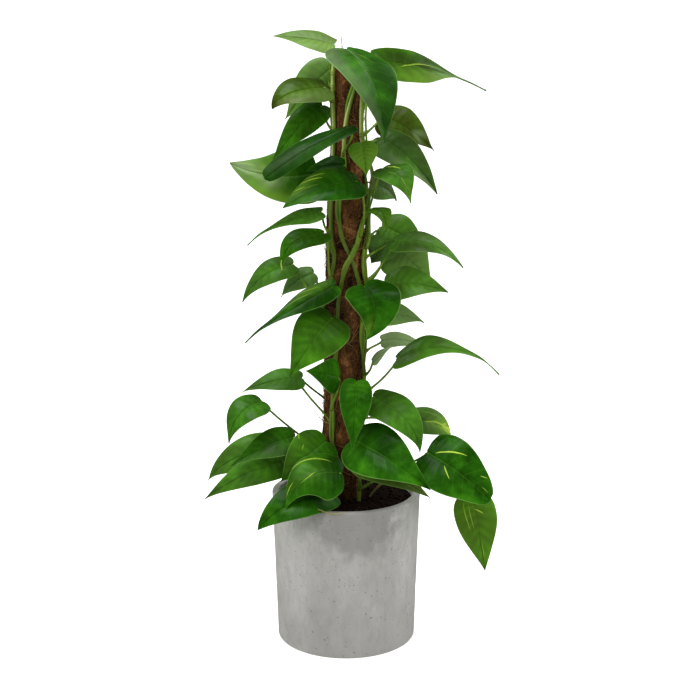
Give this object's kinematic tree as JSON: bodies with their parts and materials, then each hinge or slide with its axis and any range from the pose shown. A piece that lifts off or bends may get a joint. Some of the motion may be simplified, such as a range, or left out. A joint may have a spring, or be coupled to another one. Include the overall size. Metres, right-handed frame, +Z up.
{
  "type": "potted climbing plant",
  "caption": "Golden pothos climbing a coir pole in a round tapered concrete pot, with glossy heart-shaped leaves lightly streaked with yellow.",
  "frame": {"origin": "centre of the pot's underside", "axes": "+Z up along the pole; -Y towards the front, which is the plant's fuller show side; +X to the right seen from the front"},
  "size_m": [0.3903, 0.2201, 0.8112],
  "materials": {
    "concrete": "pale grey cast concrete, matt, with pinholes and faint damp mottling",
    "soil": "moist dark potting mix with bark crumbs, matt",
    "pole_wood": "turned softwood, bare",
    "coir": "reddish brown coconut fibre, matted and rough",
    "stem": "yellow green living stem, semi-gloss, with brown nodes",
    "leaf": "glossy mid green leaf with sunken veins and sparse yellow streaks"
  },
  "bodies": {
    "root": {"pot": "concrete", "soil": "soil", "pole_core": "pole_wood", "coir_sleeve": "coir", "stem_left": "stem", "stem_centre": "stem", "stem_right": "stem", "stem_back": "stem", "leaf_01": "leaf", "leaf_02": "leaf", "leaf_03": "leaf", "leaf_04": "leaf", "leaf_05": "leaf", "leaf_06": "leaf", "leaf_07": "leaf", "leaf_08": "leaf", "leaf_09": "leaf", "leaf_10": "leaf", "leaf_11": "leaf", "leaf_12": "leaf", "leaf_13": "leaf", "leaf_14": "leaf", "leaf_15": "leaf", "leaf_16": "leaf", "leaf_17": "leaf", "leaf_18": "leaf", "leaf_19": "leaf", "leaf_20": "leaf", "leaf_21": "leaf", "leaf_22": "leaf", "leaf_23": "leaf", "leaf_24": "leaf", "leaf_25": "leaf", "leaf_26": "leaf", "leaf_27": "leaf", "leaf_28": "leaf", "leaf_29": "leaf", "leaf_30": "leaf", "leaf_31": "leaf", "leaf_32": "leaf", "leaf_33": "leaf", "leaf_34": "leaf", "leaf_35": "leaf", "leaf_36": "leaf", "leaf_37": "leaf", "leaf_38": "leaf", "leaf_39": "leaf", "leaf_40": "leaf", "leaf_41": "leaf", "leaf_42": "leaf", "leaf_43": "leaf", "leaf_44": "leaf", "leaf_45": "leaf", "leaf_46": "leaf", "leaf_47": "leaf", "leaf_48": "leaf", "leaf_49": "leaf", "leaf_50": "leaf", "leaf_51": "leaf", "leaf_52": "leaf"}
  },
  "joints": []
}
